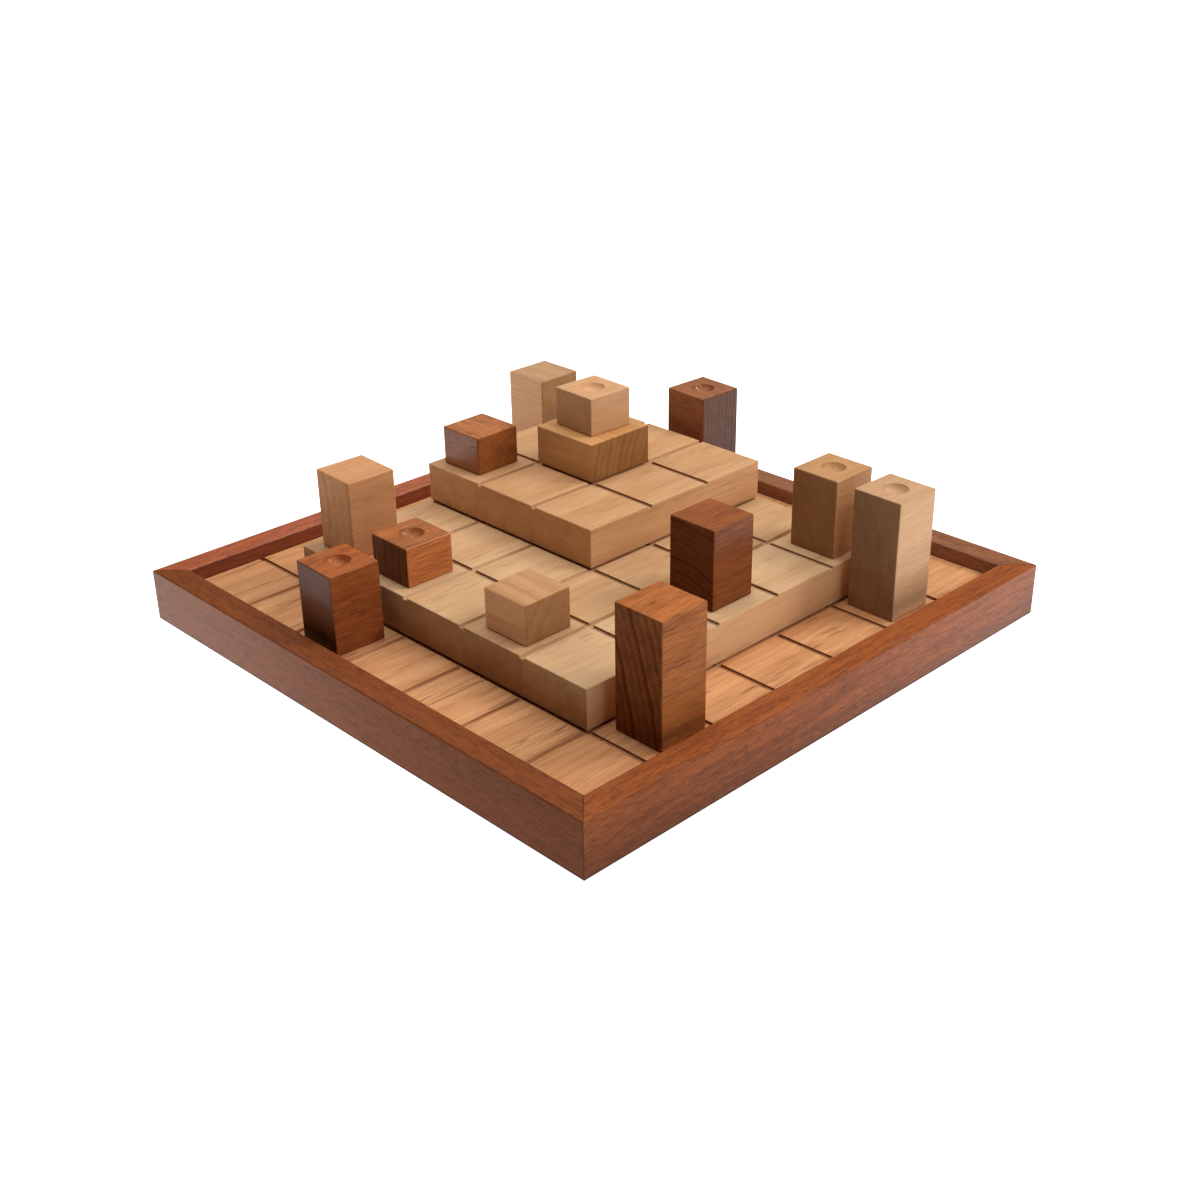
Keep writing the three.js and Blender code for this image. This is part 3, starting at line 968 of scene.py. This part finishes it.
def make_floor():
    setting = studio()
    reach = setting.floor_reach
    mesh = bpy.data.meshes.new("floor")
    corners = [(-reach, -reach, 0), (reach, -reach, 0), (reach, reach, 0), (-reach, reach, 0)]
    mesh.from_pydata(corners, [], [(0, 1, 2, 3)])
    floor = bpy.data.objects.new("floor", mesh)
    bpy.context.scene.collection.objects.link(floor)
    material = bpy.data.materials.new("pale_floor")
    material.use_nodes = True
    tree = material.node_tree
    shader = tree.nodes["Principled BSDF"]
    shader.inputs["Base Color"].default_value = (*setting.floor_colour, 1.0)
    shader.inputs["Roughness"].default_value = 0.9
    shader.inputs["Specular IOR Level"].default_value = 0.0
    shader.inputs["Emission Color"].default_value = WHITE
    x, y, _ = split(tree, add(tree, "ShaderNodeTexCoord").outputs["Object"])
    towards_camera = maths(tree, "SUBTRACT", x, y)
    glow = ramp(tree, towards_camera, *GLOW_FADE, setting.far_glow, setting.near_glow)
    tree.links.new(glow, shader.inputs["Emission Strength"])
    mesh.materials.append(material)


def make_light(name, lamp, power):
    """A light that faces the origin and that the camera doesn't see."""
    turned = Matrix.Rotation(math.radians(lamp.turn), 3, "Z")
    raised = Matrix.Rotation(math.radians(-lamp.rise), 3, "Y")
    place = turned @ raised @ Vector((lamp.distance, 0.0, 0.0))
    data = bpy.data.lights.new(name, "AREA")
    data.shape = "SQUARE"
    data.size = lamp.side
    data.energy = power
    light = bpy.data.objects.new(name, data)
    light.location = place
    light.rotation_mode = "QUATERNION"
    light.rotation_quaternion = (-place).to_track_quat("-Z", "Y")
    light.visible_camera = False
    bpy.context.scene.collection.objects.link(light)


def make_room():
    """A dim room with a white horizon, in front of a backdrop that is white to the camera all the way up."""
    world = bpy.data.worlds.new("white_room")
    world.use_nodes = True
    tree = world.node_tree
    height = split(tree, add(tree, "ShaderNodeTexCoord").outputs["Generated"])[2]
    glow = ramp(tree, height, *HORIZON_FADE, studio().sky_strength, 0.0)
    backdrop = add(tree, "ShaderNodeLightPath").outputs["Is Camera Ray"]
    shader = tree.nodes["Background"]
    shader.inputs["Color"].default_value = WHITE
    tree.links.new(maths(tree, "MAXIMUM", glow, backdrop), shader.inputs["Strength"])
    bpy.context.scene.world = world


def make_camera():
    setting = studio()
    azimuth, elevation = setting.azimuth, setting.elevation
    back = Vector((
        math.sin(azimuth) * math.cos(elevation), -math.cos(azimuth) * math.cos(elevation), math.sin(elevation)
    ))
    level = Vector((math.cos(azimuth), math.sin(azimuth), 0.0))
    right = Matrix.Rotation(setting.roll, 3, back) @ level
    up = back.cross(right)
    data = bpy.data.cameras.new("camera")
    data.lens = setting.lens
    data.clip_start = 0.01
    data.clip_end = 100.0
    camera = bpy.data.objects.new("camera", data)
    turned = Matrix((right, up, back)).transposed().to_4x4()
    place = Vector((setting.aim_x, setting.aim_y, 0.0)) + back * setting.distance
    camera.matrix_world = Matrix.Translation(place) @ turned
    bpy.context.scene.collection.objects.link(camera)
    bpy.context.scene.camera = camera


class BOARDGAME_OT_rails(bpy.types.Operator):
    """Makes the four mitred rails of the frame"""

    bl_idname = "board_game.rails"
    bl_label = "Rails"

    def execute(self, context):
        make_rails()
        return {"FINISHED"}


class BOARDGAME_OT_slabs(bpy.types.Operator):
    """Makes the base, the two tiers and the top block"""

    bl_idname = "board_game.slabs"
    bl_label = "Slabs"

    def execute(self, context):
        make_slabs()
        return {"FINISHED"}


class BOARDGAME_OT_light_pieces(bpy.types.Operator):
    """Makes the six playing pieces of light wood"""

    bl_idname = "board_game.light_pieces"
    bl_label = "Light Pieces"

    def execute(self, context):
        make_pieces(LIGHT_TURNS)
        return {"FINISHED"}


class BOARDGAME_OT_dark_pieces(bpy.types.Operator):
    """Makes the six playing pieces of dark wood"""

    bl_idname = "board_game.dark_pieces"
    bl_label = "Dark Pieces"

    def execute(self, context):
        make_pieces(DARK_TURNS)
        return {"FINISHED"}


class BOARDGAME_OT_studio(bpy.types.Operator):
    """Sets the floor, the light and the camera"""

    bl_idname = "board_game.studio"
    bl_label = "Studio"

    def execute(self, context):
        setting = studio()
        make_floor()
        make_room()
        for name, lamp in LAMPS.items():
            make_light(f"{name}_light", lamp, getattr(setting, f"{name}_power"))
        make_camera()
        context.scene.view_settings.view_transform = "Standard"
        return {"FINISHED"}


class BOARDGAME_PT_sidebar(bpy.types.Panel):
    """Lists the makers of the board game and their settings"""

    bl_idname = "BOARDGAME_PT_sidebar"
    bl_label = "Board Game"
    bl_space_type = "VIEW_3D"
    bl_region_type = "UI"
    bl_category = "Board Game"

    def draw(self, context):
        for maker in OPERATORS:
            self.layout.operator(maker.bl_idname)
        for settings in (sizes(), colours(), studio()):
            for name in settings.__annotations__:
                self.layout.prop(settings, name)


SETTINGS = {
    "board_game_sizes": BoardSizes,
    "board_game_colours": WoodColours,
    "board_game_studio": StudioSettings,
}
OPERATORS = (
    BOARDGAME_OT_studio,
    BOARDGAME_OT_rails,
    BOARDGAME_OT_slabs,
    BOARDGAME_OT_light_pieces,
    BOARDGAME_OT_dark_pieces,
)


def register():
    for settings in SETTINGS.values():
        bpy.utils.register_class(settings)
    for name, settings in SETTINGS.items():
        setattr(bpy.types.Scene, name, PointerProperty(type=settings))
    for maker in OPERATORS:
        bpy.utils.register_class(maker)
    bpy.utils.register_class(BOARDGAME_PT_sidebar)


def unregister():
    bpy.utils.unregister_class(BOARDGAME_PT_sidebar)
    for maker in reversed(OPERATORS):
        bpy.utils.unregister_class(maker)
    for name in SETTINGS:
        delattr(bpy.types.Scene, name)
    for settings in SETTINGS.values():
        bpy.utils.unregister_class(settings)


def main():
    register()
    bpy.ops.board_game.studio()
    bpy.ops.board_game.rails()
    bpy.ops.board_game.slabs()
    bpy.ops.board_game.light_pieces()
    bpy.ops.board_game.dark_pieces()


if __name__ == "__main__":
    main()
